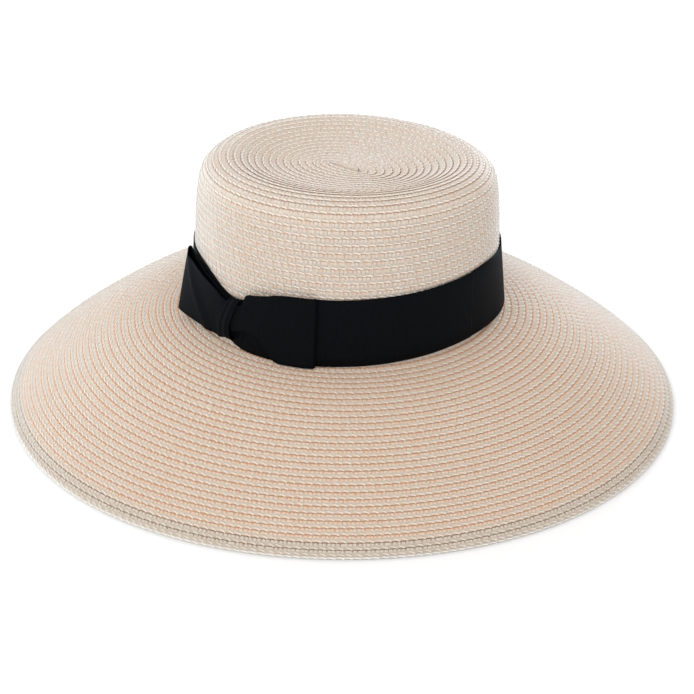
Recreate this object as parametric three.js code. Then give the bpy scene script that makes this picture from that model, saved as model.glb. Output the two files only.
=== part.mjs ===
// Wide-brim straw hat: crown and brim of sewn braid, with a black grosgrain band and a flat bow.
// Millimetres, +Z up. The rim rests on z = 0, the head oval is longest along X, and the origin
// lies under the middle of the hat. The bow is on the side that faces -Y, left of its middle.

import * as THREE from 'three';

// Driving dimensions, in millimetres. The head oval is the outer face of the crown's foot.
const headHalfLength = 97.8;
const headHalfWidth = 87.7;
const strawWall = 2;
const brimSlant = 132.7;
const brimLongerAtEnds = 9.1;
const edgeBraidWidth = 13.5;
const edgeBraidWall = 1.6;
const edgeBraidLip = 2.6;
const ribbonWidth = 45;
const ribbonWall = 1;
const seatGap = 0.3;
const bowLeftOfMiddle = 78;

// How finely each piece is cut into flat faces.
const facetsRoundStraw = 60;
const facetsRoundBand = 72;
const crownRings = 19;
const crownLiningRings = 13;
const brimStops = [6, 14, 24, 36, 50, 66, 82, 98, 112];
const ribbonRows = 3;
const ribbonStep = 6;

// The crown's outer face: how far it stands inside the head oval, and its height above the brim.
const crownFace = [
  { inset: 0, height: 0 },
  { inset: 0.6, height: 24 },
  { inset: 1.3, height: 47 },
  { inset: 2.8, height: 71 },
  { inset: 4.4, height: 85 },
  { inset: 6.6, height: 93.5 },
  { inset: 10.4, height: 98 },
  { inset: 15.5, height: 101.2 },
  { inset: 22.5, height: 102.6 },
  { inset: 31, height: 101.4 },
  { inset: 44, height: 97.8 },
  { inset: 62, height: 95.2 },
  { inset: 80, height: 94.4 },
];

// The brim's slope below level, in degrees, at distances down the slope from the crown.
const brimSlopes = [
  { along: -3, slope: 0 },
  { along: 3.6, slope: 3 },
  { along: 29.4, slope: 16.8 },
  { along: 55.2, slope: 28.3 },
  { along: 81.1, slope: 35.6 },
  { along: 106.9, slope: 37.7 },
  { along: 132.7, slope: 48.8 },
];

// The soft brim's slow waves between crown and rim: how many round the oval, and how high.
const brimWaves = [
  { turns: 1, height: 3.45, peakAt: 90 },
  { turns: 2, height: 1.25, peakAt: 90 },
];

// A bow loop from the knot out to its fold and back: distance from the knot, how far its low and
// its high edge stand off the crown, and the heights of these two edges above the brim.
const rightLoop = [
  { out: 1, standLow: 5, standHigh: 4.4, low: 13, high: 31.5 },
  { out: 8.4, standLow: 5.4, standHigh: 4.6, low: 16, high: 33.4 },
  { out: 11.6, standLow: 5.4, standHigh: 4.6, low: 16.8, high: 41 },
  { out: 17, standLow: 5.3, standHigh: 4.4, low: 16.4, high: 42.6 },
  { out: 21, standLow: 5.2, standHigh: 4.3, low: 14, high: 43.4 },
  { out: 26, standLow: 5, standHigh: 4.2, low: 8.6, high: 44.4 },
  { out: 31.5, standLow: 4.8, standHigh: 4.2, low: 1.8, high: 45.4 },
  { out: 43, standLow: 4.6, standHigh: 4.2, low: 1, high: 46.4 },
  { out: 53, standLow: 4.2, standHigh: 4.1, low: 0.9, high: 47 },
  { out: 54.6, standLow: 3.2, standHigh: 3.2, low: 0.9, high: 47 },
  { out: 53, standLow: 2.3, standHigh: 2.3, low: 1, high: 46.6 },
  { out: 32, standLow: 2.2, standHigh: 2.2, low: 3, high: 44.6 },
  { out: 11.6, standLow: 2.2, standHigh: 2.2, low: 9, high: 38 },
  { out: 8.4, standLow: 2.2, standHigh: 2.2, low: 10, high: 33 },
  { out: 1, standLow: 2.2, standHigh: 2.2, low: 11, high: 31 },
];
const leftLoop = [
  { out: 1, standLow: 4.8, standHigh: 4.4, low: 8.8, high: 32 },
  { out: 7, standLow: 5.4, standHigh: 4.6, low: 8.6, high: 34 },
  { out: 9.5, standLow: 6.8, standHigh: 4.9, low: 7.4, high: 35.6 },
  { out: 13, standLow: 8, standHigh: 5.2, low: 7, high: 37.5 },
  { out: 24, standLow: 9.6, standHigh: 5.6, low: 5.8, high: 41 },
  { out: 38, standLow: 10.2, standHigh: 5.4, low: 4.8, high: 44.6 },
  { out: 49, standLow: 10.2, standHigh: 4.8, low: 4.2, high: 46.6 },
  { out: 52.5, standLow: 8.4, standHigh: 3.6, low: 3.8, high: 47 },
  { out: 51, standLow: 5.6, standHigh: 2.5, low: 3.4, high: 46.8 },
  { out: 36, standLow: 3, standHigh: 2.2, low: 3, high: 44.4 },
  { out: 16, standLow: 2.2, standHigh: 2.2, low: 6.5, high: 38.5 },
  { out: 1, standLow: 2.2, standHigh: 2.2, low: 9, high: 31.5 },
];

// The knot's wrap, from behind the bow's upper edge round its front to behind the lower edge:
// height above the brim, stand-off from the crown, shift along the band, and width of the ribbon.
const knotWrap = [
  { height: 34.9, stand: 2.2, shift: 3.4, width: 7 },
  { height: 35.4, stand: 3.8, shift: 3.4, width: 7.2 },
  { height: 34.2, stand: 5.9, shift: 3, width: 7.6 },
  { height: 28, stand: 7, shift: 1, width: 9 },
  { height: 20, stand: 7.9, shift: -1, width: 10 },
  { height: 11, stand: 7.7, shift: -1.6, width: 10 },
  { height: 6.4, stand: 6.6, shift: -1.2, width: 9.6 },
  { height: 5, stand: 4.4, shift: -1, width: 9.2 },
  { height: 5.4, stand: 2.2, shift: -1, width: 9 },
];

// How the knot gathers the band: its upper edge dips and its lower edge lifts near the knot.
const bandFoot = 1.3;
const bandPinchTop = 12;
const bandPinchFoot = 4;
const bandPinchSpread = 22;

const straw = { color: 0xe3cfbb, roughness: 0.72, metalness: 0 };
const doubledStraw = { color: 0xc9b9a5, roughness: 0.76, metalness: 0 };
const grosgrain = { color: 0x121317, roughness: 0.62, metalness: 0 };

const fullTurn = 2 * Math.PI;
const hat = new THREE.Group();

function addPiece(name, geometry, finish) {
  geometry.computeVertexNormals();
  const mesh = new THREE.Mesh(geometry, new THREE.MeshStandardMaterial(finish));
  mesh.name = name;
  hat.add(mesh);
}

function turnsOf(count) {
  return Array.from({ length: count }, (_, facet) => (facet * fullTurn) / count);
}

// Reads a column of a table at a value of its key column, on straight lines between the rows.
function readTable(table, key, value, column) {
  const next = table.findIndex((entry) => entry[key] >= value);
  if (next <= 0) {
    return table.at(next)[column];
  }
  const from = table[next - 1];
  const to = table[next];
  return THREE.MathUtils.mapLinear(value, from[key], to[key], from[column], to[column]);
}

// Joins rings of points into one closed skin; a ring may also be a single point on the axis.
function skinOfRings(rings) {
  const starts = [];
  const positions = [];
  for (const ring of rings) {
    starts.push(positions.length / 3);
    ring.forEach((point) => positions.push(point.x, point.y, point.z));
  }
  const indices = [];
  rings.forEach((lower, place) => {
    const upper = rings[(place + 1) % rings.length];
    const low = starts[place];
    const high = starts[(place + 1) % rings.length];
    const count = Math.max(lower.length, upper.length);
    for (let step = 0; step < count; step += 1) {
      const next = (step + 1) % count;
      if (lower.length > 1) {
        indices.push(low + step, low + next, high + (upper.length > 1 ? next : 0));
      }
      if (upper.length > 1) {
        indices.push(low + (lower.length > 1 ? step : 0), high + next, high + step);
      }
    }
  });
  const geometry = new THREE.BufferGeometry();
  geometry.setAttribute('position', new THREE.Float32BufferAttribute(positions, 3));
  geometry.setIndex(indices);
  return geometry;
}

// Straw: a point on a ring that keeps to the head oval, a little outside or inside it.
function onOval(turn, reach, height) {
  const x = (headHalfLength + reach) * Math.cos(turn);
  const y = (headHalfWidth + reach) * Math.sin(turn);
  return new THREE.Vector3(x, y, height);
}

// The brim's profile, walked down its slope in small steps from the crown's foot.
const walkStep = 0.1;
const brimStart = brimSlopes[0].along;
const brimWalk = [];
for (let along = brimStart, reach = brimStart, drop = 0; along < brimSlant + walkStep; along += walkStep) {
  const slope = THREE.MathUtils.degToRad(readTable(brimSlopes, 'along', along, 'slope'));
  brimWalk.push({ reach, drop, slope });
  reach += walkStep * Math.cos(slope);
  drop += walkStep * Math.sin(slope);
}

// A point of the brim: how far down its slope, and how deep under its upper face.
function onBrim(turn, along, depth) {
  const { reach, drop, slope } = brimWalk[Math.round((along - brimStart) / walkStep)];
  const share = Math.max(0, along / brimSlant);
  const longer = -brimLongerAtEnds * share * Math.cos(2 * turn + Math.PI);
  const wave = brimWaves.reduce((sum, { turns, height, peakAt }) => {
    return sum + height * Math.cos(turns * (turn - THREE.MathUtils.degToRad(peakAt)));
  }, 0);
  const height = brimTop - drop - depth * Math.cos(slope) + 4 * share * (1 - share) * wave;
  return onOval(turn, reach + longer - depth * Math.sin(slope), height);
}

// The rim is cut level, so that the hat rests on a flat ring.
const rimDepth = strawWall + seatGap + edgeBraidWall;
const rimCutBack = 0.8;
const rimCut = brimWalk[Math.round((brimSlant - rimCutBack - brimStart) / walkStep)];
const brimTop = rimCut.drop + rimDepth * Math.cos(rimCut.slope);

// Where the doubled outer rows begin, their middle, and where the upper layer ends.
const doubledStart = brimSlant - edgeBraidLip - edgeBraidWidth;
const doubledMiddle = brimSlant - edgeBraidLip - edgeBraidWidth / 2;
const upperEnd = brimSlant - edgeBraidLip;

function brimRing(along, depth) {
  return turnsOf(facetsRoundStraw).map((turn) => onBrim(turn, along, depth));
}

function makeBrim() {
  const stops = [brimStart, ...brimStops, doubledStart, doubledMiddle, upperEnd];
  const upper = stops.map((along) => brimRing(along, 0));
  const under = stops.map((along) => brimRing(along, strawWall));
  return skinOfRings([...under, ...upper.reverse()]);
}

// The second layer of braid, sewn under the outermost rows and standing out past them.
function makeBrimEdge() {
  const upperDepth = strawWall + seatGap;
  const stops = [brimSlant, upperEnd, doubledMiddle, doubledStart];
  const upper = stops.map((along) => brimRing(along, upperDepth));
  const rimCorner = upper[0].map((point) => point.clone().setZ(0));
  const cutCorner = brimRing(brimSlant - rimCutBack, rimDepth).map((point) => point.setZ(0));
  const under = [doubledStart, doubledMiddle].map((along) => brimRing(along, rimDepth));
  return skinOfRings([...under, cutCorner, rimCorner, ...upper]);
}

// The crown is one hollow wall: its outer face and its lining side follow the same curve.
function crownRing({ x: inset, y: height }) {
  return turnsOf(facetsRoundStraw).map((turn) => onOval(turn, -inset, brimTop + seatGap + height));
}

function makeCrown() {
  const face = new THREE.SplineCurve(crownFace.map(({ inset, height }) => new THREE.Vector2(inset, height)));
  const outer = [];
  for (let ring = 0; ring < crownRings; ring += 1) {
    outer.push(crownRing(face.getPointAt(ring / (crownRings - 1))));
  }
  const inner = [];
  for (let ring = 0; ring < crownLiningRings; ring += 1) {
    const place = ring / (crownLiningRings - 1);
    const along = face.getTangentAt(place);
    const inward = new THREE.Vector2(along.y, -along.x).multiplyScalar(strawWall);
    inner.push(crownRing(face.getPointAt(place).add(inward)));
  }
  const tipHeight = brimTop + seatGap + crownFace.at(-1).height;
  const outerTip = [new THREE.Vector3(0, 0, tipHeight)];
  const innerTip = [new THREE.Vector3(0, 0, tipHeight - strawWall)];
  return skinOfRings([...outer, outerTip, innerTip, ...inner.reverse()]);
}

// Ribbon: a point on the crown's wall, by distance along the band from the knot.
const headOval = new THREE.EllipseCurve(0, 0, headHalfLength, headHalfWidth);
headOval.arcLengthDivisions = 720;
const headRound = headOval.getLength();
const knotPlace = 0.75 * headRound - bowLeftOfMiddle;

function onWall(arc, stand, height) {
  const share = THREE.MathUtils.euclideanModulo((knotPlace + arc) / headRound, 1);
  const foot = headOval.getPointAt(share);
  const ahead = headOval.getTangentAt(share);
  const away = stand - readTable(crownFace, 'height', height, 'inset');
  return new THREE.Vector3(foot.x + away * ahead.y, foot.y - away * ahead.x, brimTop + height);
}

function makeBand() {
  const ring = (stand, rise) => turnsOf(facetsRoundBand).map((turn) => {
    const arc = (turn / fullTurn) * headRound;
    const fromKnot = Math.min(arc, headRound - arc);
    const pinch = Math.exp(-((fromKnot / bandPinchSpread) ** 2));
    const low = bandFoot + bandPinchFoot * pinch;
    const high = bandFoot + ribbonWidth - bandPinchTop * pinch;
    return onWall(arc, stand, THREE.MathUtils.lerp(low, high, rise));
  });
  const rises = Array.from({ length: ribbonRows + 1 }, (_, row) => row / ribbonRows);
  const outer = rises.map((rise) => ring(seatGap + ribbonWall, rise));
  const inner = rises.map((rise) => ring(seatGap, rise));
  return skinOfRings([...outer, ...inner.reverse()]);
}

// Joins sections of a strip, each a closed row of corners, into one body with both ends capped.
function skinOfSections(sections) {
  const corners = sections[0].length;
  const positions = sections.flatMap((section) => section.flatMap((point) => point.toArray()));
  const indices = [];
  const addFace = (a, b, c, d) => indices.push(a, b, c, a, c, d);
  for (let start = 0; start < (sections.length - 1) * corners; start += corners) {
    for (let corner = 0; corner < corners; corner += 1) {
      const after = (corner + 1) % corners;
      addFace(start + corner, start + corners + corner, start + corners + after, start + after);
    }
  }
  const lastStart = (sections.length - 1) * corners;
  for (let corner = 0; corner < corners / 2 - 1; corner += 1) {
    const opposite = corners - 1 - corner;
    addFace(corner, corner + 1, opposite - 1, opposite);
    addFace(lastStart + opposite, lastStart + opposite - 1, lastStart + corner + 1, lastStart + corner);
  }
  if (volumeInside(positions, indices) < 0) {
    indices.reverse();
  }
  const geometry = new THREE.BufferGeometry();
  geometry.setAttribute('position', new THREE.Float32BufferAttribute(positions, 3));
  geometry.setIndex(indices);
  return geometry;
}

function volumeInside(positions, indices) {
  let volume = 0;
  for (let face = 0; face < indices.length; face += 3) {
    const [a, b, c] = [0, 1, 2].map((corner) => {
      return new THREE.Vector3().fromArray(positions, 3 * indices[face + corner]);
    });
    volume += a.dot(b.cross(c)) / 6;
  }
  return volume;
}

// A table's rows with more rows between them, at most one ribbon step apart along the band.
function refineRows(table) {
  const rows = [table[0]];
  table.slice(1).forEach((to, place) => {
    const from = table[place];
    const pieces = Math.ceil(Math.abs(to.out - from.out) / ribbonStep);
    for (let piece = 1; piece <= pieces; piece += 1) {
      const row = Object.keys(to).map((column) => {
        return [column, THREE.MathUtils.lerp(from[column], to[column], piece / pieces)];
      });
      rows.push(Object.fromEntries(row));
    }
  });
  return rows;
}

// A bow loop: the ribbon's middle line and its thickness to both sides, low edge to high edge.
function makeLoop(table, side) {
  const rows = refineRows(table);
  const sections = rows.map((row, place) => {
    const before = rows[Math.max(0, place - 1)];
    const after = rows[Math.min(rows.length - 1, place + 1)];
    const cornerOn = (face, rise) => {
      const standOf = (entry) => THREE.MathUtils.lerp(entry.standLow, entry.standHigh, rise);
      const ahead = new THREE.Vector2(after.out - before.out, standOf(after) - standOf(before)).normalize();
      const out = row.out - (face * ahead.y * ribbonWall) / 2;
      const stand = standOf(row) + (face * ahead.x * ribbonWall) / 2;
      return onWall(side * out, stand, THREE.MathUtils.lerp(row.low, row.high, rise));
    };
    const rises = Array.from({ length: ribbonRows + 1 }, (_, step) => step / ribbonRows);
    const faceUp = rises.map((rise) => cornerOn(1, rise));
    const faceDown = rises.reverse().map((rise) => cornerOn(-1, rise));
    return [...faceUp, ...faceDown];
  });
  return skinOfSections(sections);
}

function makeKnot() {
  const sections = knotWrap.map((row, place) => {
    const before = knotWrap[Math.max(0, place - 1)];
    const after = knotWrap[Math.min(knotWrap.length - 1, place + 1)];
    const ahead = new THREE.Vector2(after.height - before.height, after.stand - before.stand).normalize();
    const corner = (across, face) => {
      const stand = row.stand + (face * ahead.x * ribbonWall) / 2;
      const height = row.height - (face * ahead.y * ribbonWall) / 2;
      return onWall(row.shift + (across * row.width) / 2, stand, height);
    };
    return [corner(-1, 1), corner(1, 1), corner(1, -1), corner(-1, -1)];
  });
  return skinOfSections(sections);
}

addPiece('crown', makeCrown(), straw);
addPiece('brim', makeBrim(), straw);
addPiece('brim_edge', makeBrimEdge(), doubledStraw);
addPiece('ribbon_band', makeBand(), grosgrain);
addPiece('bow_loop_right', makeLoop(rightLoop, 1), grosgrain);
addPiece('bow_loop_left', makeLoop(leftLoop, -1), grosgrain);
addPiece('bow_knot', makeKnot(), grosgrain);

export default hat;
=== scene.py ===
import math

import bpy
import numpy as np
from mathutils import Matrix, Vector


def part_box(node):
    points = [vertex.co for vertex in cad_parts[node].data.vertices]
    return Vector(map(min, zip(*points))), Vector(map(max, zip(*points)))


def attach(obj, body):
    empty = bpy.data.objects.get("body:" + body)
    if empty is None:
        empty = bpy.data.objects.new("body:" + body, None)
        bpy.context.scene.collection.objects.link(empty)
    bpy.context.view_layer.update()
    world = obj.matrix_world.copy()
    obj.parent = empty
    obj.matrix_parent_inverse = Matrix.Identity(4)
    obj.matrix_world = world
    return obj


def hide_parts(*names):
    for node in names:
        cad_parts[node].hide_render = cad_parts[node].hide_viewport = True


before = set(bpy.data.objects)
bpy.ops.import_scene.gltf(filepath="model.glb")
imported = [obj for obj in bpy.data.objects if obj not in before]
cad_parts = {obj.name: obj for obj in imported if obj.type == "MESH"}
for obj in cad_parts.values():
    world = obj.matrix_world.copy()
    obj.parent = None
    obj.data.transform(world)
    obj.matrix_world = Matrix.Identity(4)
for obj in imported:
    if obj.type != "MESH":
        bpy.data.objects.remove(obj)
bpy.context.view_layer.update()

# Camera: it stands a metre away in front of the bow side, a little to the left, and looks down past
# the tip of the crown. It leans slightly, so that the right side of the picture lies lower.
aim = Vector((0.0019, 0, 0.0264))
turned_left = math.radians(3.81)
looks_down = math.radians(30.44)
leans = math.radians(1.10)
stands_away = 0.9798
lens_length = 76.46
across = Vector((math.cos(turned_left), -math.sin(turned_left), 0))
back = Vector((-math.sin(turned_left) * math.cos(looks_down),
               -math.cos(turned_left) * math.cos(looks_down),
               math.sin(looks_down)))
upward = back.cross(across)
right = across * math.cos(leans) + upward * math.sin(leans)
lens = bpy.data.cameras.new("camera")
lens.lens = lens_length
camera = bpy.data.objects.new("camera", lens)
bpy.context.scene.collection.objects.link(camera)
camera.matrix_world = Matrix.Translation(aim + back * stands_away) @ Matrix(
    (right, back.cross(right), back)).transposed().to_4x4()
bpy.context.scene.camera = camera

# Crown: one long braid, sewn as a spiral from the middle of the tip out over the ridge and down the
# oval side. Each turn's lower edge lies on the next turn and is stitched down, so it casts a line of
# shade. The braid is a flat tape with pale strands along its edge and peach strands across it.
mm = 0.001
crown_low, crown_high = (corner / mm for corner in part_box("crown"))
head_half_long = crown_high.x
head_half_wide = crown_high.y
crown_foot = crown_low.z
crown_face = [
    {"inset": head_half_wide, "height": 94.4},
    {"inset": 80, "height": 94.4},
    {"inset": 62, "height": 95.2},
    {"inset": 44, "height": 97.8},
    {"inset": 31, "height": 101.4},
    {"inset": 22.5, "height": 102.6},
    {"inset": 15.5, "height": 101.2},
    {"inset": 10.4, "height": 98},
    {"inset": 6.6, "height": 93.5},
    {"inset": 4.4, "height": 85},
    {"inset": 2.8, "height": 71},
    {"inset": 1.3, "height": 47},
    {"inset": 0.6, "height": 24},
    {"inset": 0, "height": 0},
]
# Toward the back the tip sags a little, by turns from the front.
tip_sags = [
    {"turn": 0, "drop": 0},
    {"turn": 0.12, "drop": 0.4},
    {"turn": 0.22, "drop": 2.2},
    {"turn": 0.31, "drop": 3.8},
    {"turn": 0.4, "drop": 3.2},
    {"turn": 0.5, "drop": 2.1},
    {"turn": 0.62, "drop": 1.5},
    {"turn": 0.76, "drop": 1.2},
    {"turn": 0.9, "drop": 0.2},
    {"turn": 1, "drop": 0},
]
sag_from_inset = 80
sag_from_height = 55
sag_full_after = 45


def smooth_rows(table, steps):
    """A table's columns on a smooth curve through its rows, with that many steps between rows."""
    rows = np.array([list(row.values()) for row in table], float)
    padded = np.vstack([rows[:1], rows, rows[-1:]])
    share = (np.arange(steps) / steps)[:, None]
    parts = []
    for before, start, end, after in zip(padded, padded[1:], padded[2:], padded[3:]):
        leave, arrive = (end - before) / 2, (after - start) / 2
        cubic = (2 * start - 2 * end + leave + arrive) * share ** 3
        square = (-3 * start + 3 * end - 2 * leave - arrive) * share ** 2
        parts.append(cubic + square + leave * share + start)
    curve = np.vstack([*parts, rows[-1:]])
    return dict(zip(table[0], curve.T))


def distance_along(*columns):
    """How far each point of a curve lies from its start."""
    return np.r_[0, np.cumsum(np.sqrt(sum(np.diff(column) ** 2 for column in columns)))]


crown_curve = smooth_rows(crown_face, steps=24)
tip_sag = smooth_rows(tip_sags, steps=12)
crown_along = distance_along(crown_curve["inset"], crown_curve["height"])
crown_length = crown_along[-1]
front = -math.pi / 2
core_turned = math.radians(-40)
core_left = 2.7
core_near = 4.5
crown_lean = 0.8
lean_from_height = 10
lean_full_height = 50


def lean_there(height):
    """How far the crown has leaned to the right at a height up its side."""
    share = (height - lean_from_height) / (lean_full_height - lean_from_height)
    return crown_lean * np.clip(share, 0, 1)


def on_crown(along, turn):
    """Points on the crown's face, by distance from the middle of the tip and turns from the front."""
    inset = np.interp(along, crown_along, crown_curve["inset"])
    height = np.interp(along, crown_along, crown_curve["height"])
    angle = 2 * math.pi * turn + front
    x = (head_half_long - inset) * np.cos(angle)
    y = (head_half_wide - inset) * np.sin(angle)
    skew = core_turned * (inset / head_half_wide) ** 2
    out_from_core = np.clip((sag_from_inset - inset) / sag_full_after, 0, 1)
    up_the_side = np.clip((height - sag_from_height) / sag_full_after, 0, 1)
    drop = np.interp(np.mod(turn, 1), tip_sag["turn"], tip_sag["drop"])
    height = height - out_from_core * up_the_side * drop
    toward_core = (inset / head_half_wide) ** 4
    return np.stack([x * np.cos(skew) - y * np.sin(skew) - core_left * toward_core + lean_there(height),
                     x * np.sin(skew) + y * np.cos(skew) - core_near * toward_core,
                     crown_foot + height], axis=-1)


def unit(vectors):
    return vectors / np.maximum(np.linalg.norm(vectors, axis=-1, keepdims=True), 1e-9)


def skin_normal(place, along, turn):
    """The outward direction of a form's face."""
    step_down, step_round = 0.05, 0.0002
    down = place(along + step_down, turn) - place(along - step_down, turn)
    round_it = place(along, turn + step_round) - place(along, turn - step_round)
    return unit(np.cross(down, round_it))


def even_steps(turn):
    """Rows of braid that all lie on one another with a step of the same height."""
    return np.ones_like(turn)


def even_colour(turn):
    """Braid whose colour is no deeper at one turn than at another."""
    return np.zeros_like(turn)


counts_a_turn = 180


def count_cells(place, line, inner, first, last, cells_a_turn, closed=False, steps=even_steps,
                deepens=even_colour):
    """A course of braid on a form: where its lower edge and the last turn's edge lie, cell by cell."""
    turns = np.linspace(first, last, int((last - first) * counts_a_turn) + 2)
    cells = np.r_[0, np.cumsum(np.diff(turns) * cells_a_turn(turns)[1:])]
    count = round(cells[-1])
    return {"place": place, "line": line, "inner": inner, "closed": closed, "steps": steps,
            "deepens": deepens, "turns": turns, "cells": cells * count / cells[-1], "count": count}


def length_of_turn(place, line, turns):
    """How long one turn of the braid would be at each of these turns."""
    step = 0.0005
    ends = place(line(turns), turns + step) - place(line(turns), turns - step)
    return np.linalg.norm(ends, axis=-1) / (2 * step)


def add_mesh(name, points, faces, material, corners, map_name):
    """A smooth mesh from points in millimetres, with one map corner for each corner of its faces."""
    mesh = bpy.data.meshes.new(name)
    mesh.from_pydata((points * mm).tolist(), [], faces)
    mesh.shade_smooth()
    layer = mesh.uv_layers.new(name=map_name)
    layer.data.foreach_set("uv", np.asarray(corners, np.float32).ravel())
    mesh.materials.append(material)
    piece = bpy.data.objects.new(name, mesh)
    bpy.context.scene.collection.objects.link(piece)
    return piece


# The tape's section, corner by corner: its share of the row from the last turn's edge to its own, how
# far past that, how far off the form, and the place across the tape that the map gives.
tape_section = [
    {"share": 0, "past": -1.3, "lift": -1, "across": -0.3},
    {"share": 0, "past": 0.15, "lift": -0.58, "across": 0.04},
    {"share": 0.42, "past": 0, "lift": -0.4, "across": 0.42},
    {"share": 0.78, "past": 0, "lift": -0.2, "across": 0.78},
    {"share": 1, "past": -0.25, "lift": -0.08, "across": 0.94},
    {"share": 1, "past": 0, "lift": -0.25, "across": 1},
    {"share": 1, "past": -0.1, "lift": -0.52, "across": 1.12},
    {"share": 0.5, "past": 0, "lift": -1.1, "across": 1.55},
    {"share": 0, "past": -1.25, "lift": -1.55, "across": 2.1},
]
last_across = 2.4
fine_stations_a_turn = 48


def sew_tape(name, course, material, section=tape_section, deeper=0, fine_until=0):
    """The tape of a course of braid, as one closed strip."""
    cells = np.arange(course["count"] + (0 if course["closed"] else 1), dtype=float)
    if fine_until:
        fine = np.arange(course["turns"][0], fine_until, 1 / fine_stations_a_turn)
        cells = np.union1d(cells, np.interp(fine, course["turns"], course["cells"]))
    turn = np.interp(cells, course["cells"], course["turns"])
    line, inner, steps = (course[part](turn) for part in ("line", "inner", "steps"))
    rows = []
    for corner in section:
        along = inner + corner["share"] * (line - inner) + corner["past"]
        normal = skin_normal(course["place"], along, turn)
        lift = corner["lift"] * steps - deeper
        rows.append(course["place"](along, turn) + normal * lift[:, None])
    points = np.stack(rows, axis=1)
    stations, around = points.shape[:2]
    acrosses = [corner["across"] for corner in section] + [last_across]
    faces, corners = [], []
    for station in range(stations if course["closed"] else stations - 1):
        here, there = station * around, (station + 1) % stations * around
        near = cells[station]
        far = cells[station + 1] if station + 1 < stations else course["count"]
        for corner in range(around):
            after = (corner + 1) % around
            faces.append((here + corner, here + after, there + after, there + corner))
            low, high = acrosses[corner], acrosses[corner + 1]
            corners += [(near, low), (near, high), (far, high), (far, low)]
    if not course["closed"]:
        for end, ring in ((0, range(around - 1, -1, -1)), (stations - 1, range(around))):
            faces.append([end * around + corner for corner in ring])
            corners += [(cells[end], acrosses[corner]) for corner in ring]
    return add_mesh(name, points.reshape(-1, 3), faces, material, corners, "braid")


# The flat strands of the plait that show in each cell, ring by ring: place along the braid in cells,
# and across it as a share of the row; then lift, half width and height.
crown_edge_strand = [
    {"cell": 0.1, "share": 0.77, "lift": -0.26, "half_width": 0.2, "height": 0.1},
    {"cell": 0.27, "share": 0.81, "lift": -0.2, "half_width": 0.45, "height": 0.26},
    {"cell": 0.78, "share": 0.92, "lift": -0.12, "half_width": 0.52, "height": 0.26},
    {"cell": 0.98, "share": 1.04, "lift": -0.24, "half_width": 0.4, "height": 0.1},
]
crown_cross_strands = [
    [
        {"cell": 0.24, "share": 0.02, "lift": -0.6, "half_width": 1, "height": 0.05},
        {"cell": 0.25, "share": 0.24, "lift": -0.46, "half_width": 1.15, "height": 0.09},
        {"cell": 0.27, "share": 0.76, "lift": -0.25, "half_width": 0.95, "height": 0.06},
    ],
    [
        {"cell": 0.7, "share": 0.02, "lift": -0.6, "half_width": 1, "height": 0.05},
        {"cell": 0.71, "share": 0.24, "lift": -0.46, "half_width": 1.15, "height": 0.09},
        {"cell": 0.74, "share": 0.84, "lift": -0.22, "half_width": 0.95, "height": 0.06},
    ],
]
brim_edge_strand = [
    {"cell": 0.16, "share": 0.6, "lift": -0.37, "half_width": 0.22, "height": 0.1},
    {"cell": 0.32, "share": 0.69, "lift": -0.28, "half_width": 0.4, "height": 0.22},
    {"cell": 0.76, "share": 0.88, "lift": -0.15, "half_width": 0.52, "height": 0.24},
    {"cell": 0.98, "share": 1.03, "lift": -0.26, "half_width": 0.42, "height": 0.1},
]
brim_cross_strands = [
    [
        {"cell": 0.27, "share": 0.02, "lift": -0.6, "half_width": 0.6, "height": 0.05},
        {"cell": 0.26, "share": 0.24, "lift": -0.46, "half_width": 1.12, "height": 0.09},
        {"cell": 0.25, "share": 0.66, "lift": -0.3, "half_width": 1, "height": 0.05},
    ],
    [
        {"cell": 0.75, "share": 0.02, "lift": -0.6, "half_width": 0.6, "height": 0.05},
        {"cell": 0.74, "share": 0.24, "lift": -0.46, "half_width": 1.12, "height": 0.09},
        {"cell": 0.72, "share": 0.76, "lift": -0.26, "half_width": 1, "height": 0.05},
    ],
]
narrowest_row = 2.5
strand_size_varies = 0.08
strand_place_varies = 0.05
furthest_chance = 2
flat_top = 0.65


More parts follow.
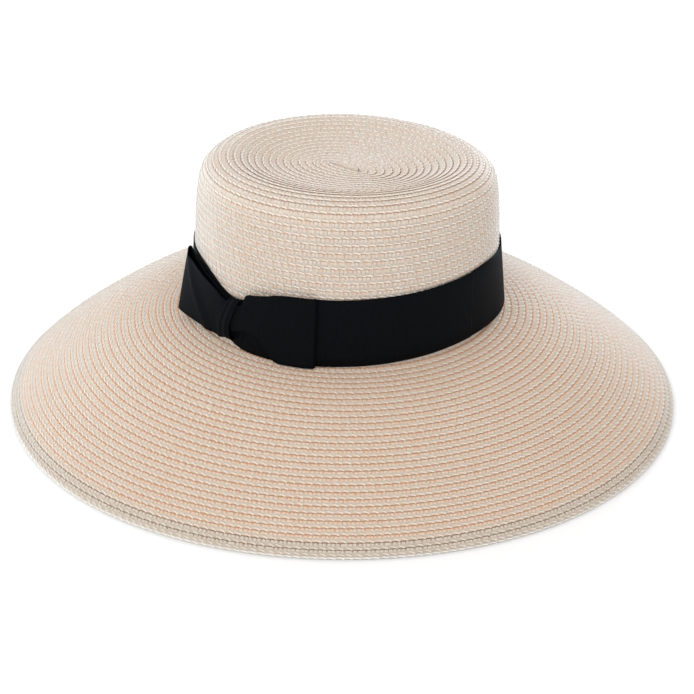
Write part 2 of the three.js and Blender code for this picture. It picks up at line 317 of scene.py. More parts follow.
def lay_strands(name, course, strand, material, seed, deeper=0):
    """The same strand in each cell of a course of braid, as small closed bodies in one mesh."""
    chance = np.random.default_rng(seed)
    cell = np.arange(course["count"], dtype=float)
    middle = np.interp(cell + 0.5, course["cells"], course["turns"])
    wide_enough = course["line"](middle) - course["inner"](middle) > narrowest_row
    cell, middle = cell[wide_enough], middle[wide_enough]
    limits = (-furthest_chance, furthest_chance)
    size = (1 + strand_size_varies * chance.standard_normal(cell.size).clip(*limits))[:, None]
    nudge = strand_place_varies * chance.standard_normal(cell.size).clip(*limits)
    centres, normals = [], []
    for ring in strand:
        turn = np.interp(cell + nudge + ring["cell"], course["cells"], course["turns"])
        line, inner, steps = (course[part](turn) for part in ("line", "inner", "steps"))
        along = inner + ring["share"] * (line - inner)
        lift = ring["lift"] * steps - deeper
        normals.append(skin_normal(course["place"], along, turn))
        centres.append(course["place"](along, turn) + normals[-1] * lift[:, None])
    ahead = unit(centres[-1] - centres[0])
    points = []
    for ring, centre, normal in zip(strand, centres, normals):
        aside = unit(np.cross(normal, ahead)) * size * ring["half_width"]
        top = centre + normal * size * ring["height"]
        points += [centre - aside, top - flat_top * aside, top + flat_top * aside, centre + aside]
    points = np.stack(points, axis=1)
    around = 4
    end = around * (len(strand) - 1)
    body = [(0, 3, 2, 1), (end, end + 1, end + 2, end + 3)]
    for ring in range(0, end, around):
        for corner in range(around):
            here, after = ring + corner, ring + (corner + 1) % around
            body.append((here, after, after + around, here + around))
    run = distance_along([ring["cell"] for ring in strand], [ring["share"] for ring in strand])
    ring_places = run / run[-1]
    # Each cell's tint is random, plus the course's deepening; on the brim's first turns that is painted
    # shade by the crown.
    tint = chance.random(cell.size) + course["deepens"](middle)
    faces, corners = [], []
    for number in range(cell.size):
        first = around * len(strand) * number
        for face in body:
            faces.append([first + corner for corner in face])
            corners += [(tint[number], ring_places[corner // around]) for corner in face]
    return add_mesh(name, points.reshape(-1, 3), faces, material, corners, "braid")


def lay_braid(name, course, straws, edge_strand, cross_strands, seed, **tape):
    """A course of braid: its tape, the strands along its edge, and those across it."""
    deeper = tape.get("deeper", 0)
    pieces = [sew_tape(f"{name}_tape", course, straws["tape"], **tape),
              lay_strands(f"{name}_edge_strands", course, edge_strand, straws["edge"], seed, deeper)]
    for number, strand in enumerate(cross_strands):
        pieces.append(lay_strands(f"{name}_cross_strands_{number}", course, strand, straws["cross"],
                                  seed + 1 + number, deeper))
    return pieces


def set_node(tree, kind, inputs=(), **settings):
    """A shader node with its settings, and its inputs set to values or linked to other sockets."""
    made = tree.nodes.new(kind)
    for setting, value in settings.items():
        setattr(made, setting, value)
    for socket, value in dict(inputs).items():
        if isinstance(value, bpy.types.NodeSocket):
            tree.links.new(value, made.inputs[socket])
        else:
            made.inputs[socket].default_value = value
    return made


def shader_group(name, inputs, outputs):
    """An empty shader node group with named inputs and outputs, each with its kind of socket."""
    group = bpy.data.node_groups.new(name, "ShaderNodeTree")
    for socket, (kind, value) in inputs.items():
        group.interface.new_socket(socket, in_out="INPUT", socket_type=kind).default_value = value
    for socket, kind in outputs.items():
        group.interface.new_socket(socket, in_out="OUTPUT", socket_type=kind)
    return group, group.nodes.new("NodeGroupInput").outputs, group.nodes.new("NodeGroupOutput").inputs


def new_material(name):
    material = bpy.data.materials.new(name)
    material.use_nodes = True
    material.node_tree.nodes.clear()
    return material, material.node_tree


# Straw fibre: slow patches of deeper and paler straw, a finer mottle, and the fine grain that the
# split fibres give to every strand.
fibre, given, gives = shader_group(
    "straw fibre",
    {"Pale": ("NodeSocketColor", (0.8, 0.7, 0.6, 1)),
     "Deep": ("NodeSocketColor", (0.6, 0.4, 0.3, 1)),
     "Tint": ("NodeSocketFloat", 0.5)},
    {"Colour": "NodeSocketColor", "Grain": "NodeSocketFloat"})
where = set_node(fibre, "ShaderNodeTexCoord").outputs["Object"]
patches = set_node(fibre, "ShaderNodeTexNoise", {"Vector": where, "Scale": 26, "Detail": 2})
mottle = set_node(fibre, "ShaderNodeTexNoise", {"Vector": where, "Scale": 420, "Detail": 2})
grain = set_node(fibre, "ShaderNodeTexNoise", {"Vector": where, "Scale": 2600, "Detail": 2})
sum_one = set_node(fibre, "ShaderNodeMath", {0: patches.outputs["Fac"], 1: mottle.outputs["Fac"]})
swing = set_node(fibre, "ShaderNodeMapRange",
                 {"Value": sum_one.outputs[0], "From Min": 0.7, "From Max": 1.3,
                  "To Min": -0.25, "To Max": 0.25})
share_deep = set_node(fibre, "ShaderNodeMath",
                      {0: given["Tint"], 1: swing.outputs["Result"]}, use_clamp=True)
blend = set_node(fibre, "ShaderNodeMix",
                 {"Factor": share_deep.outputs[0], 6: given["Pale"], 7: given["Deep"]},
                 data_type="RGBA")
fibre.links.new(blend.outputs[2], gives["Colour"])
fibre.links.new(grain.outputs["Fac"], gives["Grain"])

# Braid row: from the braid's map, a mask of the row's lower part and one of its edge, the slanting
# ridges of the plait, and a chance value for each cell.
plait_slant = 5.0
braid_row, given, gives = shader_group(
    "braid row",
    {"Map": ("NodeSocketVector", (0, 0, 0))},
    {"Lower": "NodeSocketFloat", "Edge": "NodeSocketFloat", "Weave": "NodeSocketFloat",
     "Chance": "NodeSocketFloat"})
parts = set_node(braid_row, "ShaderNodeSeparateXYZ", {0: given["Map"]})
along_cell, across_row = parts.outputs["X"], parts.outputs["Y"]
lower = set_node(braid_row, "ShaderNodeMapRange",
                 {"Value": across_row, "From Min": 0.22, "From Max": 0.5,
                  "To Min": 0, "To Max": 1}, interpolation_type="SMOOTHSTEP")
near_edge = set_node(braid_row, "ShaderNodeMapRange",
                     {"Value": across_row, "From Min": 0.9, "From Max": 0.94,
                      "To Min": 0, "To Max": 1}, interpolation_type="SMOOTHSTEP")
below_edge = set_node(braid_row, "ShaderNodeMapRange",
                      {"Value": across_row, "From Min": 1.2, "From Max": 1.3,
                       "To Min": 1, "To Max": 0}, interpolation_type="SMOOTHSTEP")
at_edge = set_node(braid_row, "ShaderNodeMath",
                   {0: near_edge.outputs["Result"], 1: below_edge.outputs["Result"]},
                   operation="MULTIPLY")
wave_place = set_node(braid_row, "ShaderNodeMath", {0: along_cell, 1: 2 * math.pi},
                      operation="MULTIPLY")
slanted = set_node(braid_row, "ShaderNodeMath",
                   {0: across_row, 1: plait_slant, 2: wave_place.outputs[0]},
                   operation="MULTIPLY_ADD")
plait = set_node(braid_row, "ShaderNodeMath", {0: slanted.outputs[0]}, operation="SINE")
cell_number = set_node(braid_row, "ShaderNodeMath", {0: along_cell}, operation="FLOOR")
chance_of_cell = set_node(braid_row, "ShaderNodeTexWhiteNoise", {"W": cell_number.outputs[0]},
                          noise_dimensions="1D")
braid_row.links.new(lower.outputs["Result"], gives["Lower"])
braid_row.links.new(at_edge.outputs[0], gives["Edge"])
braid_row.links.new(plait.outputs[0], gives["Weave"])
braid_row.links.new(chance_of_cell.outputs["Value"], gives["Chance"])

# Dry straw: matt, with a soft sheen.
straw_sheen = 0.9
straw_sheen_roughness = 0.3
tape_roughness = 0.7
weave_over_grain = 0.6


def tape_material(name, upper, low_pale, low_deep, edge):
    """Straw tape between the raised strands, coloured from the last turn's edge out to its own."""
    material, tree = new_material(name)
    braid_map = set_node(tree, "ShaderNodeUVMap", uv_map="braid").outputs["UV"]
    row = set_node(tree, "ShaderNodeGroup", {}, node_tree=braid_row)
    tree.links.new(braid_map, row.inputs["Map"])
    straw = set_node(tree, "ShaderNodeGroup", {}, node_tree=fibre)
    straw.inputs["Pale"].default_value = (*low_pale, 1)
    straw.inputs["Deep"].default_value = (*low_deep, 1)
    tree.links.new(row.outputs["Chance"], straw.inputs["Tint"])
    # The upper colour, next to the last turn's edge, is painted shade under that edge, mixed with the
    # straw's orange there.
    face_colour = set_node(tree, "ShaderNodeMix",
                           {"Factor": row.outputs["Lower"], 6: (*upper, 1),
                            7: straw.outputs["Colour"]}, data_type="RGBA")
    # The edge colour, along the row's own edge, is partly the orange strand there and partly painted
    # shade of the step onto the next row.
    coloured = set_node(tree, "ShaderNodeMix",
                        {"Factor": row.outputs["Edge"], 6: face_colour.outputs[2],
                         7: (*edge, 1)}, data_type="RGBA")
    relief = set_node(tree, "ShaderNodeMath",
                      {0: row.outputs["Weave"], 1: weave_over_grain, 2: straw.outputs["Grain"]},
                      operation="MULTIPLY_ADD")
    bump = set_node(tree, "ShaderNodeBump",
                    {"Height": relief.outputs[0], "Strength": 0.5, "Distance": 0.0003})
    shader = set_node(tree, "ShaderNodeBsdfPrincipled",
                      {"Base Color": coloured.outputs[2], "Roughness": tape_roughness,
                       "Sheen Weight": straw_sheen, "Sheen Roughness": straw_sheen_roughness,
                       "Normal": bump.outputs["Normal"]})
    set_node(tree, "ShaderNodeOutputMaterial", {"Surface": shader.outputs["BSDF"]})
    return material


def strand_material(name, pale, deep, start, end, roughness):
    """A strand with its own tint between pale and deep, and other colours where it starts and ends."""
    material, tree = new_material(name)
    braid_map = set_node(tree, "ShaderNodeUVMap", uv_map="braid").outputs["UV"]
    parts = set_node(tree, "ShaderNodeSeparateXYZ", {0: braid_map})
    straw = set_node(tree, "ShaderNodeGroup", {}, node_tree=fibre)
    straw.inputs["Pale"].default_value = (*pale, 1)
    straw.inputs["Deep"].default_value = (*deep, 1)
    tree.links.new(parts.outputs["X"], straw.inputs["Tint"])
    risen = set_node(tree, "ShaderNodeMapRange",
                     {"Value": parts.outputs["Y"], "From Min": 0.06, "From Max": 0.26,
                      "To Min": 0, "To Max": 1}, interpolation_type="SMOOTHSTEP")
    sinking = set_node(tree, "ShaderNodeMapRange",
                       {"Value": parts.outputs["Y"], "From Min": 0.3, "From Max": 0.8,
                        "To Min": 0, "To Max": 1}, interpolation_type="SMOOTHSTEP")
    toward_end = set_node(tree, "ShaderNodeMix",
                          {"Factor": sinking.outputs["Result"], 6: straw.outputs["Colour"],
                           7: (*end, 1)}, data_type="RGBA")
    # On the cross strands, which start under the last turn's edge, the start colour is painted shade
    # there.
    coloured = set_node(tree, "ShaderNodeMix",
                        {"Factor": risen.outputs["Result"], 6: (*start, 1),
                         7: toward_end.outputs[2]}, data_type="RGBA")
    bump = set_node(tree, "ShaderNodeBump",
                    {"Height": straw.outputs["Grain"], "Strength": 0.5, "Distance": 0.0002})
    shader = set_node(tree, "ShaderNodeBsdfPrincipled",
                      {"Base Color": coloured.outputs[2], "Roughness": roughness,
                       "Sheen Weight": straw_sheen, "Sheen Roughness": straw_sheen_roughness,
                       "Normal": bump.outputs["Normal"]})
    set_node(tree, "ShaderNodeOutputMaterial", {"Surface": shader.outputs["BSDF"]})
    return material


def braid_straws(kind, tape, edge, cross):
    """The three straws of one kind of braid: its tape, the strands along its edge, and those across."""
    return {"tape": tape_material(f"{kind} tape", **tape),
            "edge": strand_material(f"{kind} edge strand", **edge),
            "cross": strand_material(f"{kind} cross strand", **cross)}


# The tape's upper colour and the cross strands' start colour are painted shade under the last turn's
# edge; the tape's edge colour is partly painted shade.
crown_straws = braid_straws(
    "crown",
    tape={"upper": (0.60, 0.45, 0.34), "low_pale": (0.63, 0.54, 0.45),
          "low_deep": (0.56, 0.45, 0.36), "edge": (0.66, 0.50, 0.38)},
    edge={"pale": (0.80, 0.73, 0.65), "deep": (0.71, 0.61, 0.51),
          "start": (0.66, 0.55, 0.45), "end": (0.82, 0.75, 0.67), "roughness": 0.5},
    cross={"pale": (0.65, 0.59, 0.52), "deep": (0.65, 0.48, 0.37),
           "start": (0.58, 0.42, 0.31), "end": (0.62, 0.54, 0.46), "roughness": 0.6})

# Turns counted from the front, and how far from the middle of the tip each turn's edge lies there.
# From one turn to the next the braid moves out at the back, so the rows look level from the front.
crown_rows = [
    {"turn": 0, "line": 0.4},
    {"turn": 1, "line": 4.2},
    {"turn": 15, "line": 67},
    {"turn": 16, "line": 71},
    {"turn": 17, "line": 75.3},
    {"turn": 18, "line": 80.3},
    {"turn": 19, "line": 85.5},
]
level_from_turn = 15
side_row = 4.75
same_cells_past_line = crown_rows[-2]["line"]
crown_turns = crown_rows[-1]["turn"] + (crown_length - crown_rows[-1]["line"]) / side_row
crown_rows.append({"turn": crown_turns, "line": crown_length})
braid_cell = 4.77
cells_round_side = 118.81
moves_out_after = 0.3
moves_out_within = 0.4
core_hole = 0.05
steeper_steps = {"line": (60, 95), "share": (0.7, 0)}
flatter_in_front = {"line": (52, 66), "share": (1, 0)}
deeper_core = {"turn": (4, 12), "share": (0.35, 0)}
crown_starts = 0.02
crown_taper = 0.8


def level_in_front(turn):
    """Turns of a spiral that moves out a row over the back of each turn, and is level in front."""
    part = np.clip((np.mod(turn, 1) - moves_out_after) / moves_out_within, 0, 1)
    return np.floor(turn) + part * part * (3 - 2 * part)


def crown_line(turn):
    """How far from the middle of the tip the braid's own edge lies at a turn."""
    seen = np.where(turn < level_from_turn, turn, level_in_front(turn))
    return np.interp(seen, [row["turn"] for row in crown_rows], [row["line"] for row in crown_rows])


def crown_inner(turn):
    """Where the last turn's edge lies, which the braid is sewn under."""
    return np.where(turn < 1, core_hole, crown_line(turn - 1))


def crown_cells(turns):
    """Cells of braid in a turn. On the side each turn has the same number, so the cells line up."""
    by_length = length_of_turn(on_crown, crown_line, turns) / braid_cell
    return np.where(crown_line(turns) > same_cells_past_line, cells_round_side, by_length)


def crown_steps(turn):
    """On the tip the rows lie steeper on one another than on the side, but not in front."""
    line = crown_line(turn)
    steeper = np.interp(line, steeper_steps["line"], steeper_steps["share"])
    flatter = np.interp(line, flatter_in_front["line"], flatter_in_front["share"])
    return 1 + steeper - flatter * np.cos(2 * math.pi * turn).clip(0, 1)


def crown_deepens(turn):
    """The strands of the first turns, in the middle of the tip, are coloured slightly deeper."""
    return np.interp(turn, deeper_core["turn"], deeper_core["share"])


crown_course = count_cells(on_crown, crown_line, crown_inner, crown_starts,
                           crown_turns + crown_taper, crown_cells, steps=crown_steps,
                           deepens=crown_deepens)
crown_pieces = lay_braid("crown", crown_course, crown_straws, crown_edge_strand,
                         crown_cross_strands, seed=11, fine_until=4)
for piece in crown_pieces:
    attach(piece, "root")
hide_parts("crown")

# Brim: the same braid goes on outwards from the crown's foot, in flatter rows that slope down to the
# rim. The last rows run level with the rim instead of in a spiral, and are sewn through two layers.
seat_gap = 0.3
brim_top = crown_foot - seat_gap
brim_slant = 132.7
brim_longer_at_ends = 9.1
brim_slopes = [
    {"along": -3, "slope": 0},
    {"along": 3.6, "slope": 3},
    {"along": 29.4, "slope": 16.8},
    {"along": 55.2, "slope": 28.3},
    {"along": 81.1, "slope": 35.6},
    {"along": 106.9, "slope": 37.7},
    {"along": 132.7, "slope": 48.8},
    {"along": 136, "slope": 50},
]
brim_waves = [{"turns": 1, "height": 3.45}, {"turns": 2, "height": 1.25}]
fillet_height = 1.2
fillet_reach = 3
walk_step = 0.1
brim_walk = np.arange(brim_slopes[0]["along"], brim_slopes[-1]["along"], walk_step)
slope_there = np.radians(np.interp(brim_walk, *zip(*(row.values() for row in brim_slopes))))
brim_reach = brim_slopes[0]["along"] + np.r_[0, np.cumsum(walk_step * np.cos(slope_there[:-1]))]
brim_drop = np.r_[0, np.cumsum(walk_step * np.sin(slope_there[:-1]))]


def on_brim(along, turn):
    """Points on the brim's upper face, by distance down its slope and turns from the front."""
    angle = 2 * math.pi * turn + front
    share = np.maximum(0, along / brim_slant)
    reach = np.interp(along, brim_walk, brim_reach)
    reach = reach + brim_longer_at_ends * share * np.cos(2 * angle)
    wave = sum(row["height"] * np.cos(row["turns"] * (angle - math.pi / 2)) for row in brim_waves)
    height = brim_top - np.interp(along, brim_walk, brim_drop) + 4 * share * (1 - share) * wave
    height = height + fillet_height * np.exp(-np.maximum(along, 0) / fillet_reach)
    return np.stack([(head_half_long + reach) * np.cos(angle),
                     (head_half_wide + reach) * np.sin(angle), height], axis=-1)


# The tape's upper colour and the cross strands' start colour are painted shade under the last turn's
# edge; the tape's edge colour is partly painted shade.
brim_straws = braid_straws(
    "brim",
    tape={"upper": (0.55, 0.34, 0.22), "low_pale": (0.60, 0.50, 0.41),
          "low_deep": (0.56, 0.44, 0.34), "edge": (0.60, 0.40, 0.27)},
    edge={"pale": (0.71, 0.61, 0.52), "deep": (0.67, 0.54, 0.44),
          "start": (0.56, 0.46, 0.37), "end": (0.75, 0.66, 0.57), "roughness": 0.5},
    cross={"pale": (0.69, 0.54, 0.42), "deep": (0.70, 0.44, 0.29),
           "start": (0.57, 0.34, 0.22), "end": (0.56, 0.47, 0.38), "roughness": 0.6})

first_brim_line = 0.45
brim_starts_under_crown = -1.5
doubled_from = 122.7
brim_turns = 27
brim_row = (doubled_from - first_brim_line) / brim_turns
brim_cell = 5.0
brim_taper = 0.7
# Painted shade: how deep the brim's strands are coloured near the crown, by turn.
shade_by_crown = {"turn": (3, 9), "share": (0.9, 0)}


def brim_line(turn):
    """How far down the brim's slope the braid's own edge lies at a turn."""
    return np.minimum(first_brim_line + brim_row * level_in_front(turn), doubled_from)


def brim_inner(turn):
    """Where the last turn's edge lies, or for the first turn a little inside the crown's foot."""
    return np.maximum(brim_line(turn - 1), brim_starts_under_crown)


def brim_cells(turns):
    """Cells of braid in a turn of the brim, by its length."""
    return length_of_turn(on_brim, brim_line, turns) / brim_cell


def brim_shaded_by_crown(turn):
    """The strands of the first turns next to the crown are coloured deeper, as painted shade by the
    crown and its band.
    """
    return np.interp(turn, shade_by_crown["turn"], shade_by_crown["share"])


brim_course = count_cells(on_brim, brim_line, brim_inner, 0, brim_turns + brim_taper, brim_cells,
                          deepens=brim_shaded_by_crown)
brim_pieces = lay_braid("brim", brim_course, brim_straws, brim_edge_strand, brim_cross_strands,
                        seed=21)

# The last two rows of the brim run level all the way round, in greyer straw. Their dark lines, in the
# tape's upper colour and the cross strands' start colour, are painted shade under each row's edge.
level_straws = braid_straws(
    "level",
    tape={"upper": (0.30, 0.22, 0.16), "low_pale": (0.52, 0.44, 0.36),
          "low_deep": (0.46, 0.38, 0.30), "edge": (0.52, 0.42, 0.33)},
    edge={"pale": (0.66, 0.58, 0.50), "deep": (0.60, 0.51, 0.42),
          "start": (0.52, 0.43, 0.35), "end": (0.70, 0.62, 0.53), "roughness": 0.55},
    cross={"pale": (0.62, 0.53, 0.44), "deep": (0.57, 0.46, 0.37),
           "start": (0.26, 0.18, 0.13), "end": (0.55, 0.47, 0.39), "roughness": 0.6})
level_lines = [doubled_from, 127.1, 131]


def level_course(inner_line, outer_line):
    """A closed course of braid on the brim, between two levels down its slope."""
    def line(turn):
        return np.full_like(turn, outer_line)

    def inner(turn):
        return np.full_like(turn, inner_line)

    def cells(turns):
        return length_of_turn(on_brim, line, turns) / brim_cell

    return count_cells(on_brim, line, inner, 0, 1, cells, closed=True)


for number, ends in enumerate(zip(level_lines, level_lines[1:])):
    course = level_course(*ends)
    brim_pieces += lay_braid(f"level_row_{number}", course, level_straws, brim_edge_strand,
                             brim_cross_strands, seed=31 + 10 * number)
for piece in brim_pieces:
    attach(piece, "root")
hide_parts("brim")

# Brim edge: a second layer of braid, sewn under the level rows so that the rim is stiff. Its pale
# edge stands out a little past the upper layer, as a fine fringe of strands.
# The tape's upper colour and the cross strands' start colour are painted shade under the last turn's
# edge; the tape's edge colour is partly painted shade.
lip_straws = braid_straws(
    "lip",
    tape={"upper": (0.60, 0.50, 0.40), "low_pale": (0.80, 0.74, 0.66),
          "low_deep": (0.74, 0.67, 0.58), "edge": (0.80, 0.74, 0.66)},
    edge={"pale": (0.90, 0.87, 0.82), "deep": (0.86, 0.81, 0.74),
          "start": (0.74, 0.67, 0.59), "end": (0.92, 0.89, 0.84), "roughness": 0.5},
    cross={"pale": (0.82, 0.77, 0.70), "deep": (0.76, 0.69, 0.61),
           "start": (0.64, 0.55, 0.46), "end": (0.80, 0.74, 0.66), "roughness": 0.6})
lip_lines = [119.6, 124, 128.4, brim_slant]
lip_depth = 1.9
lip_thinner = 0.7
lip_section = [{**corner, "lift": corner["lift"] * lip_thinner} for corner in tape_section]
edge_pieces = []
for number, ends in enumerate(zip(lip_lines, lip_lines[1:])):
    course = level_course(*ends)
    edge_pieces += lay_braid(f"lip_row_{number}", course, lip_straws, brim_edge_strand,
                             brim_cross_strands, seed=61 + 10 * number,
                             section=lip_section, deeper=lip_depth)
for piece in edge_pieces:
    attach(piece, "root")
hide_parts("brim_edge")

# Ribbon band: black grosgrain, ribbed across and woven with a scalloped edge, laid once round the
# foot of the crown and stitched. The bow's knot gathers it, and its end is lapped on the right.
ribbon_width = 45
ribbon_wall = 0.6
rib = 1.0
scallop = 0.16
band_stand = 0.55
knot_left_of_front = 78
front_of_oval = 0.75
points_round_oval = 1441
wall_rows = 6
oval_angle = np.linspace(0, 2 * math.pi, points_round_oval)
oval_x, oval_y = head_half_long * np.cos(oval_angle), head_half_wide * np.sin(oval_angle)
oval_along = distance_along(oval_x, oval_y)
head_round = oval_along[-1]
knot_place = front_of_oval * head_round - knot_left_of_front
wall_from_foot_up = crown_face[-wall_rows:][::-1]
wall_heights = [row["height"] for row in wall_from_foot_up]
wall_insets = [row["inset"] for row in wall_from_foot_up]


def on_wall(arc, stand, height):
    """Points off the crown's side, by distance along it from the knot, stand-off and height."""
    angle = np.interp(np.mod(knot_place + arc, head_round), oval_along, oval_angle)
    x, y = head_half_long * np.cos(angle), head_half_wide * np.sin(angle)
    outward = unit(np.stack([x / head_half_long ** 2, y / head_half_wide ** 2], axis=-1))
    away = stand - np.interp(height, wall_heights, wall_insets)
    return np.stack([x + away * outward[..., 0] + lean_there(height), y + away * outward[..., 1],
                     brim_top + height + 0 * x], axis=-1)


def weave_ribbon(name, middle, along, across, material, closed=False, scalloped=True):
    """A ribbon from its middle surface, a grid of points along and across it, with its thickness."""
    if closed:
        ahead = np.roll(middle, -1, axis=0) - np.roll(middle, 1, axis=0)
    else:
        ahead = np.gradient(middle, axis=0)
    aside = np.gradient(middle, axis=1)
    if scalloped:
        swing = scallop * np.cos(2 * math.pi * along / rib)[:, None]
        middle = middle.copy()
        middle[:, 0] -= swing * unit(aside[:, 0])
        middle[:, -1] += swing * unit(aside[:, -1])
    normal = unit(np.cross(ahead, aside)) * ribbon_wall / 2
    rings = np.concatenate([middle + normal, (middle - normal)[:, ::-1]], axis=1)
    places = np.concatenate([across, across[:, ::-1]], axis=1)
    stations, around = rings.shape[:2]
    faces, corners = [], []
    for station in range(stations if closed else stations - 1):
        there = (station + 1) % stations
        far = along[there] if there else along[-1] + along[1] - along[0]
        for corner in range(around):
            after = (corner + 1) % around
            faces.append((station * around + corner, there * around + corner,
                          there * around + after, station * around + after))
            corners += [(along[station], places[station, corner]), (far, places[there, corner]),
                        (far, places[there, after]), (along[station], places[station, after])]
    if not closed:
        for end, ring in ((0, range(around)), (stations - 1, range(around - 1, -1, -1))):
            faces.append([end * around + corner for corner in ring])
            corners += [(along[end], places[end, corner]) for corner in ring]
    return add_mesh(name, rings.reshape(-1, 3), faces, material, corners, "ribbon")


# Grosgrain: round ribs across the ribbon, one a millimetre, in black thread with a faint cool sheen.
grosgrain, tree = new_material("grosgrain")
ribbon_map = set_node(tree, "ShaderNodeUVMap", uv_map="ribbon").outputs["UV"]
rib_place = set_node(tree, "ShaderNodeSeparateXYZ", {0: ribbon_map}).outputs["X"]
rib_turn = set_node(tree, "ShaderNodeMath", {0: rib_place, 1: 2 * math.pi / rib},
                    operation="MULTIPLY")
ribs = set_node(tree, "ShaderNodeMath", {0: rib_turn.outputs[0]}, operation="SINE")
lint = set_node(tree, "ShaderNodeTexNoise",
                {"Vector": set_node(tree, "ShaderNodeTexCoord").outputs["Object"], "Scale": 300,
                 "Detail": 3})
black = set_node(tree, "ShaderNodeMix",
                 {"Factor": lint.outputs["Fac"], 6: (0.0022, 0.0027, 0.0035, 1),
                  7: (0.0040, 0.0048, 0.0062, 1)}, data_type="RGBA")
rib_bump = set_node(tree, "ShaderNodeBump",
                    {"Height": ribs.outputs[0], "Strength": 0.7, "Distance": 0.00012})
shader = set_node(tree, "ShaderNodeBsdfPrincipled",
                  {"Base Color": black.outputs[2], "Roughness": 0.6, "Specular IOR Level": 0.03,
                   "Normal": rib_bump.outputs["Normal"]})
set_node(tree, "ShaderNodeOutputMaterial", {"Surface": shader.outputs["BSDF"]})

# The band's two edges above the brim, and how far its foot stands off, by distance from the knot.
band_edges = [
    {"arc": 0, "low": 1.3, "high": 46.3, "flare": 0},
    {"arc": 25, "low": 0.8, "high": 46.2, "flare": 0.4},
    {"arc": 60, "low": 1.2, "high": 45.8, "flare": 0},
    {"arc": 90, "low": 2.2, "high": 46.8, "flare": 0},
    {"arc": 120, "low": 3.4, "high": 47.9, "flare": 0.2},
    {"arc": 150, "low": 4.6, "high": 49, "flare": 0.8},
    {"arc": 175, "low": 5, "high": 49.3, "flare": 2.4},
    {"arc": 200, "low": 4.8, "high": 47.4, "flare": 4.5},
    {"arc": 225, "low": 4.4, "high": 46.4, "flare": 5.1},
    {"arc": 260, "low": 3, "high": 46.3, "flare": 3.4},
    {"arc": 320, "low": 1.3, "high": 46.3, "flare": 0.6},
    {"arc": 600, "low": 1.3, "high": 46.3, "flare": 0},
]
band_pinch_top = {"arc": 0, "drop": 12, "spread": 22}
band_pinch_foot = {"arc": -8, "drop": -3.6, "spread": 10}
lap_end = 159
lap_lift = 0.45
lap_slope = 0.5
flare_lost_at_top = 0.9
points_along_band = 1180
points_across_band = 7
band_arc = np.linspace(0, head_round, points_along_band, endpoint=False)


def pinched(pinch):
    """How far the bow's knot draws an edge of the band down, along the band."""
    off = np.mod(band_arc - pinch["arc"] + head_round / 2, head_round) - head_round / 2
    return pinch["drop"] * np.exp(-(off / pinch["spread"]) ** 2)


rise = np.linspace(0, 1, points_across_band)
band_curve = smooth_rows(band_edges, steps=8)
band_low = np.interp(band_arc, band_curve["arc"], band_curve["low"]) - pinched(band_pinch_foot)
band_high = np.interp(band_arc, band_curve["arc"], band_curve["high"]) - pinched(band_pinch_top)
band_height = band_low[:, None] + (band_high - band_low)[:, None] * rise
lapped = np.clip((lap_end - band_arc) / lap_slope, 0, 1)
band_flare = np.interp(band_arc, band_curve["arc"], band_curve["flare"])[:, None]
band_off = (band_stand + lap_lift * lapped)[:, None] + band_flare * (1 - flare_lost_at_top * rise)
band_middle = on_wall(band_arc[:, None] + 0 * rise, band_off, band_height)
band = weave_ribbon("band", band_middle, band_arc, ribbon_width * rise + 0 * band_height, grosgrain,
                    closed=True)
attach(band, "root")
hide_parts("ribbon_band")

# Bow: two flat loops of the same ribbon, left and right of the knot. Each runs out to its fold and
# back behind itself. The right loop lies flat, and the left one stands off the crown at its fold.
# The tables give the distance from the knot, how far both edges stand off, and their heights.
right_loop = [
    {"out": 1, "stand_low": 5, "stand_high": 4.4, "low": 13, "high": 31.5},
    {"out": 8.4, "stand_low": 5.4, "stand_high": 4.6, "low": 16, "high": 33.4},
    {"out": 11.6, "stand_low": 5.4, "stand_high": 4.6, "low": 16.8, "high": 41},
    {"out": 17, "stand_low": 5.3, "stand_high": 4.4, "low": 16.4, "high": 42.6},
    {"out": 21, "stand_low": 5.2, "stand_high": 4.3, "low": 14, "high": 43.4},
    {"out": 26, "stand_low": 5, "stand_high": 4.2, "low": 8.6, "high": 44.4},
    {"out": 31.5, "stand_low": 4.8, "stand_high": 4.2, "low": 1.8, "high": 45.4},
    {"out": 43, "stand_low": 4.6, "stand_high": 4.2, "low": 1, "high": 46.4},
    {"out": 53, "stand_low": 4.2, "stand_high": 4.1, "low": 0.9, "high": 47},
    {"out": 54.6, "stand_low": 3.2, "stand_high": 3.2, "low": 0.9, "high": 47},
    {"out": 53, "stand_low": 2.3, "stand_high": 2.3, "low": 1, "high": 46.6},
    {"out": 32, "stand_low": 2.2, "stand_high": 2.2, "low": 3, "high": 44.6},
    {"out": 11.6, "stand_low": 2.2, "stand_high": 2.2, "low": 9, "high": 38},
    {"out": 8.4, "stand_low": 2.2, "stand_high": 2.2, "low": 10, "high": 33},
    {"out": 1, "stand_low": 2.2, "stand_high": 2.2, "low": 11, "high": 31},
]
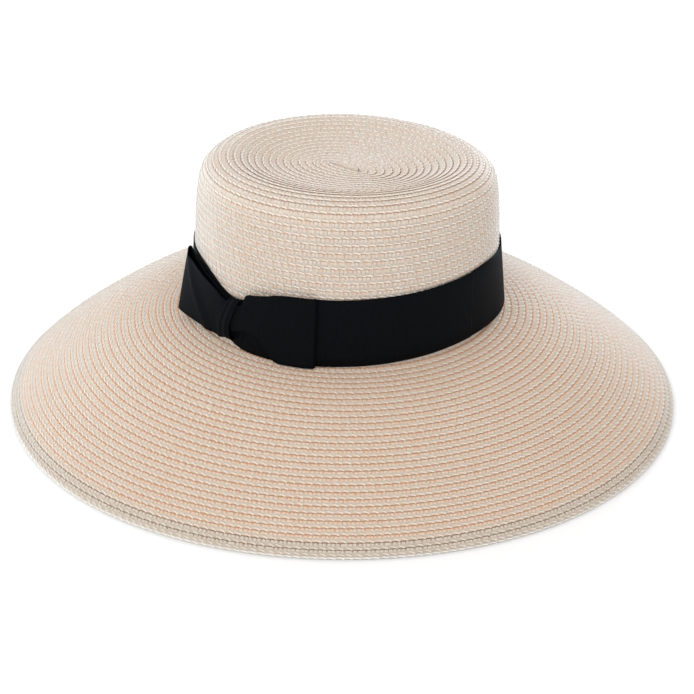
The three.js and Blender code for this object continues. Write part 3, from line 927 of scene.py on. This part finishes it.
left_loop = [
    {"out": 1, "stand_low": 4.8, "stand_high": 4.4, "low": 8.8, "high": 32},
    {"out": 7, "stand_low": 5.2, "stand_high": 4.6, "low": 6.4, "high": 34},
    {"out": 9.5, "stand_low": 4.8, "stand_high": 4.9, "low": 6, "high": 35.6},
    {"out": 13, "stand_low": 4.2, "stand_high": 5.2, "low": 6, "high": 37.5},
    {"out": 24, "stand_low": 4.9, "stand_high": 5.8, "low": 5.8, "high": 41},
    {"out": 38, "stand_low": 8, "stand_high": 6, "low": 5.8, "high": 44.6},
    {"out": 49, "stand_low": 11.2, "stand_high": 5.6, "low": 5.9, "high": 46.8},
    {"out": 52.5, "stand_low": 10.2, "stand_high": 4.4, "low": 5.6, "high": 47.2},
    {"out": 51, "stand_low": 7, "stand_high": 3, "low": 4.8, "high": 47},
    {"out": 36, "stand_low": 3, "stand_high": 2.2, "low": 3, "high": 44.4},
    {"out": 16, "stand_low": 2.2, "stand_high": 2.2, "low": 6.5, "high": 38.5},
    {"out": 1, "stand_low": 2.2, "stand_high": 2.2, "low": 9, "high": 31.5},
]
loop_step = 0.5
points_across_loop = 15
crease = {"low_out": 20, "high_out": 44, "lift": 1.3, "half_width": 4, "clear_of_fold": 3}


def tie_loop(name, table, side, node, creased=False):
    """A loop of the bow from its table; when creased, a crease runs slantwise up its face."""
    rows = smooth_rows(table, steps=16)
    run = distance_along(rows["out"], (rows["stand_low"] + rows["stand_high"]) / 2)
    along = np.arange(0, run[-1], loop_step)
    at = {column: np.interp(along, run, values)[:, None] for column, values in rows.items()}
    rise = np.linspace(0, 1, points_across_loop)
    stand = at["stand_low"] + (at["stand_high"] - at["stand_low"]) * rise
    height = at["low"] + (at["high"] - at["low"]) * rise
    if creased:
        off = at["out"] - crease["low_out"] - (crease["high_out"] - crease["low_out"]) * rise
        short_of_fold = np.clip((rows["out"].max() - at["out"]) / crease["clear_of_fold"], 0, 1)
        in_front = (along < run[-1] / 2)[:, None]
        lift = crease["lift"] * np.exp(-(off / crease["half_width"]) ** 2)
        stand = stand + lift * (short_of_fold * in_front)
    middle = on_wall(side * at["out"] + 0 * rise, stand, height)
    loop = weave_ribbon(name, middle, along, ribbon_width * rise + 0 * height, grosgrain)
    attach(loop, "root")
    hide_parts(node)


tie_loop("loop_right", right_loop, 1, "bow_loop_right")
tie_loop("loop_left", left_loop, -1, "bow_loop_left", creased=True)

# Knot: a short end of ribbon, pleated lengthwise, wrapped over the middle of the bow from behind its
# upper edge to behind its lower edge.
knot_wrap = [
    {"height": 34.9, "stand": 2.2, "shift": 3.4, "width": 6.4},
    {"height": 35.4, "stand": 3.8, "shift": 3.4, "width": 6.6},
    {"height": 34.2, "stand": 5.9, "shift": 2.8, "width": 7},
    {"height": 28, "stand": 7, "shift": 0.6, "width": 7.6},
    {"height": 20, "stand": 7.8, "shift": -1.6, "width": 8},
    {"height": 13, "stand": 7.6, "shift": -2, "width": 8.2},
    {"height": 9.4, "stand": 6.6, "shift": -1.4, "width": 8},
    {"height": 8.4, "stand": 4.4, "shift": -1, "width": 7.8},
    {"height": 8.8, "stand": 2.2, "shift": -1, "width": 7.6},
]
knot_map_half = 8
points_across_knot = 25
pleating = {"height": 0.3, "waves": 1.5, "shift": 0.2}
wrap = smooth_rows(knot_wrap, steps=16)
wrap_run = distance_along(wrap["height"], wrap["stand"])
wrap_along = np.arange(0, wrap_run[-1], loop_step)
at = {column: np.interp(wrap_along, wrap_run, values)[:, None] for column, values in wrap.items()}
side = np.linspace(-1, 1, points_across_knot)
pleat_wave = np.cos(pleating["waves"] * math.pi * (side - pleating["shift"]))
pleats = pleating["height"] * pleat_wave * (1 - side ** 2)
middle = on_wall(at["shift"] + side * at["width"] / 2, at["stand"] + pleats, at["height"] + 0 * side)
knot = weave_ribbon("knot", middle, wrap_along, knot_map_half * side + 0 * middle[..., 0],
                    grosgrain, scalloped=False)
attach(knot, "root")
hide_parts("bow_knot")

# Floor: a plain white sheet of card, well past the picture's edges.
floor_half = 4
corners_round = [(-1, -1), (1, -1), (1, 1), (-1, 1)]
card = bpy.data.meshes.new("floor")
card.from_pydata([(x * floor_half, y * floor_half, 0) for x, y in corners_round], [], [(0, 1, 2, 3)])
floor = bpy.data.objects.new("floor", card)
bpy.context.scene.collection.objects.link(floor)
card_finish, tree = new_material("white card")
shader = set_node(tree, "ShaderNodeBsdfPrincipled",
                  {"Base Color": (0.92, 0.92, 0.92, 1), "Roughness": 0.8})
set_node(tree, "ShaderNodeOutputMaterial", {"Surface": shader.outputs["BSDF"]})
card.materials.append(card_finish)

# Light: a white room all round, a large soft box above on the left in front, and two small bluish
# ones low behind the hat, on its left and on its right.
room = bpy.data.worlds.new("room")
room.use_nodes = True
room.node_tree.nodes["Background"].inputs["Color"].default_value = (1, 1, 1, 1)
room.node_tree.nodes["Background"].inputs["Strength"].default_value = 1.0
bpy.context.scene.world = room
bpy.context.scene.view_settings.view_transform = "Standard"
soft_boxes = [
    {"place": (-1.0, -1.2, 1.3), "size": 1.6, "watts": 12, "colour": (1, 1, 1)},
    {"place": (-1.3, 1.0, 0.24), "size": 0.5, "watts": 12, "colour": (0.64, 0.85, 1)},
    {"place": (0.9, 1.7, 0.24), "size": 0.5, "watts": 16, "colour": (0.76, 0.89, 1)},
]
for number, box in enumerate(soft_boxes):
    lamp = bpy.data.lights.new(f"soft_box_{number}", "AREA")
    lamp.size = box["size"]
    lamp.energy = box["watts"]
    lamp.color = box["colour"]
    holder = bpy.data.objects.new(f"soft_box_{number}", lamp)
    holder.location = box["place"]
    holder.rotation_euler = (-Vector(box["place"])).to_track_quat("-Z", "Y").to_euler()
    bpy.context.scene.collection.objects.link(holder)
